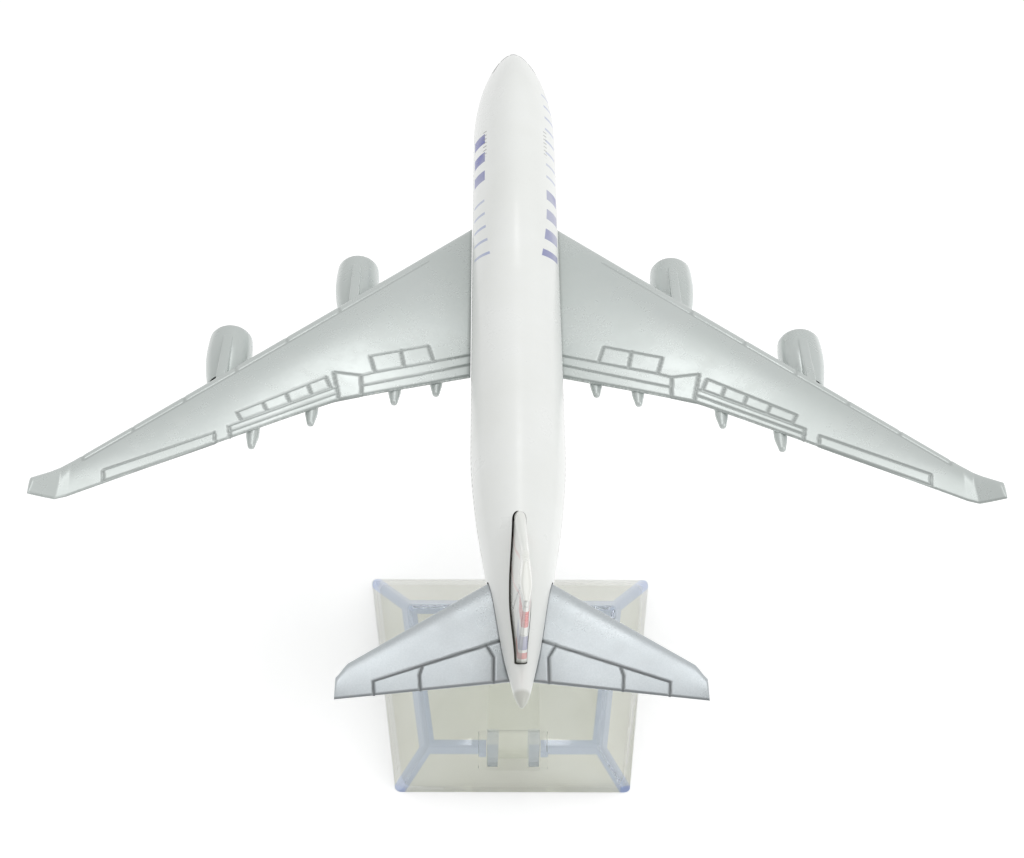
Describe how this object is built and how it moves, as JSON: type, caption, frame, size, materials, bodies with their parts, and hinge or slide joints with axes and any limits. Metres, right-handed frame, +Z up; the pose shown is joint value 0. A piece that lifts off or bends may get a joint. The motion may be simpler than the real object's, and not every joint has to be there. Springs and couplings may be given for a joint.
{
  "type": "desktop airliner model",
  "caption": "Die-cast desktop model of a four-engined airliner with a raised upper deck, on a clear two-piece plastic stand.",
  "frame": {"origin": "on the table, under the middle of the whole model's box", "axes": "+Y towards the nose, +X towards the right wing, +Z up from the table"},
  "size_m": [0.1458, 0.1613, 0.091],
  "materials": {
    "fuselage_enamel": "gloss white enamel on a zinc casting",
    "wing_enamel": "semi-gloss pale grey enamel on a zinc casting",
    "tail_enamel": "silver-grey enamel on a zinc casting",
    "fin_enamel": "gloss white enamel with red and blue printed accents",
    "fan_enamel": "dark grey paint",
    "exhaust_enamel": "dull silver paint",
    "screw_steel": "plated steel",
    "clear_plastic": "clear moulded polystyrene"
  },
  "bodies": {
    "base": {"stand_base": "clear_plastic"},
    "post": {"stand_post": "clear_plastic"},
    "aircraft": {"fuselage_casting": "fuselage_enamel", "belly_casting": "wing_enamel", "tail_fin": "fin_enamel", "front_screw": "screw_steel", "rear_screw": "screw_steel", "left_wing": "wing_enamel", "right_wing": "wing_enamel", "left_tailplane": "tail_enamel", "right_tailplane": "tail_enamel", "left_inner_nacelle": "wing_enamel", "left_inner_fan": "fan_enamel", "left_inner_exhaust": "exhaust_enamel", "left_outer_nacelle": "wing_enamel", "left_outer_fan": "fan_enamel", "left_outer_exhaust": "exhaust_enamel", "right_inner_nacelle": "wing_enamel", "right_inner_fan": "fan_enamel", "right_inner_exhaust": "exhaust_enamel", "right_outer_nacelle": "wing_enamel", "right_outer_fan": "fan_enamel", "right_outer_exhaust": "exhaust_enamel"}
  },
  "joints": [
    {"name": "post_pull", "type": "slide", "parent": "base", "child": "post", "axis": [0, 0, 1], "range_m": [0, 0.012]},
    {"name": "aircraft_lift", "type": "slide", "parent": "post", "child": "aircraft", "axis": [0, -0.0872, 0.9962], "range_m": [0, 0.01]}
  ]
}
